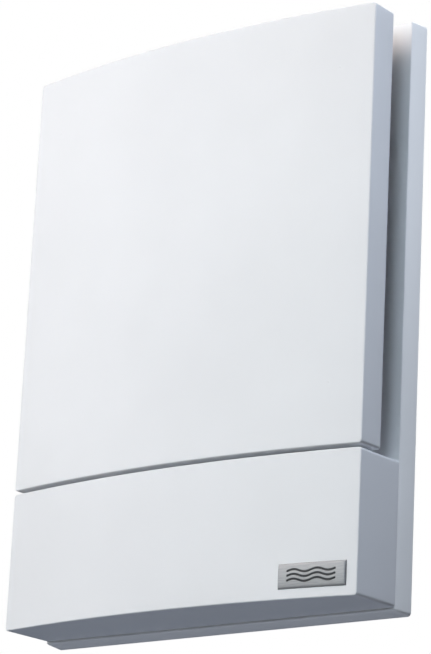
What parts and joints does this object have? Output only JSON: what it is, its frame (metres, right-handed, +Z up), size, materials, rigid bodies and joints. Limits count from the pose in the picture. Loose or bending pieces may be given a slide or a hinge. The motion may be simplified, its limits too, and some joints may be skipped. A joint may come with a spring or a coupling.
{
  "type": "heat recovery unit",
  "caption": "Wall-mounted room unit of a through-the-wall heat recovery ventilator: curved sliding front panel, lower cover, back plate and plug-in fan and ceramic regenerator cartridge.",
  "frame": {"origin": "on the duct axis, in the wall plane, which is the back face of the base plate and the centre of its four screw holes", "axes": "+Y into the wall along the duct, +Z up, +X to the right seen from the room"},
  "size_m": [0.2224, 0.1136, 0.3034],
  "materials": {
    "casing_white": "satin",
    "silver_badge": "satin",
    "guide_plastic": "satin",
    "sleeve_plastic": "satin",
    "black_rubber": "matte",
    "grey_foam": "matte",
    "particle_foam": "matte",
    "duct_plastic": "matte",
    "filter_fleece": "matte",
    "fan_plastic": "satin",
    "steel": "satin",
    "brass": "satin",
    "ferrite": "matte",
    "copper_wire": "satin",
    "lamination": "matte",
    "circuit_board": "satin",
    "ceramic": "matte",
    "mesh_fibre": "matte",
    "connector_plastic": "satin",
    "cable_sheath": "satin",
    "black_plastic": "satin",
    "terminal_green": "satin",
    "can_aluminium": "satin",
    "fuse_ceramic": "satin",
    "slider_white": "satin"
  },
  "bodies": {
    "base": {"base_plate": "casing_white", "lower_cover": "casing_white", "badge": "silver_badge", "guide_sleeve_top_left": "sleeve_plastic", "guide_sleeve_top_right": "sleeve_plastic", "guide_sleeve_bottom_left": "sleeve_plastic", "guide_sleeve_bottom_right": "sleeve_plastic", "closing_seal": "grey_foam", "duct_flange": "duct_plastic", "duct_spigot": "duct_plastic", "flange_screws": "steel", "sleeve_seal_front": "black_rubber", "sleeve_seal_rear": "black_rubber", "filter_frame": "duct_plastic", "filter_mat": "filter_fleece", "fan_housing": "fan_plastic", "fan_bands": "grey_foam", "bearing_front": "steel", "bearing_rear": "steel", "bearing_tube": "brass", "stator_core": "lamination", "stator_windings": "copper_wire", "motor_board": "circuit_board", "core_gasket": "grey_foam", "regenerator_sleeve": "particle_foam", "ceramic_core": "ceramic", "insect_mesh": "mesh_fibre", "end_grille": "duct_plastic", "motor_lead": "cable_sheath", "fan_plug": "connector_plastic", "fan_cable": "cable_sheath", "fan_header": "connector_plastic", "cable_grommet": "black_rubber", "cable_clamp": "guide_plastic", "control_board": "circuit_board", "power_module": "black_plastic", "capacitors": "can_aluminium", "terminal_block": "terminal_green", "terminal_screws": "steel", "fuse": "fuse_ceramic", "processor_chip": "black_plastic", "mode_switch": "black_plastic", "cover_screws": "steel", "small_screws": "steel"},
    "front_panel": {"front_panel": "casing_white", "sound_pad": "grey_foam", "guide_pin_top_left": "guide_plastic", "guide_pin_top_right": "guide_plastic", "guide_pin_bottom_left": "guide_plastic", "guide_pin_bottom_right": "guide_plastic", "pin_ring_top_left": "black_rubber", "pin_ring_top_right": "black_rubber", "pin_ring_bottom_left": "black_rubber", "pin_ring_bottom_right": "black_rubber"},
    "fan_rotor": {"impeller": "fan_plastic", "rotor_yoke": "steel", "rotor_magnet": "ferrite", "fan_shaft": "steel"},
    "filter_ring": {"filter_ring": "duct_plastic"},
    "mode_slider": {"mode_slider": "slider_white"}
  },
  "joints": [
    {"name": "panel_slide", "type": "slide", "parent": "base", "child": "front_panel", "axis": [0, 1, 0], "range_m": [-0.045, 0.0152]},
    {"name": "fan_spin", "type": "hinge", "parent": "base", "child": "fan_rotor", "pos_m": [0, 0, 0], "axis": [0, 1, 0], "continuous": true},
    {"name": "filter_ring_twist", "type": "hinge", "parent": "base", "child": "filter_ring", "pos_m": [0, -0.02, 0], "axis": [0, -1, 0], "range_deg": [0, 25]},
    {"name": "mode_slide", "type": "slide", "parent": "base", "child": "mode_slider", "axis": [1, 0, 0], "range_m": [-0.0025, 0.0025]}
  ]
}
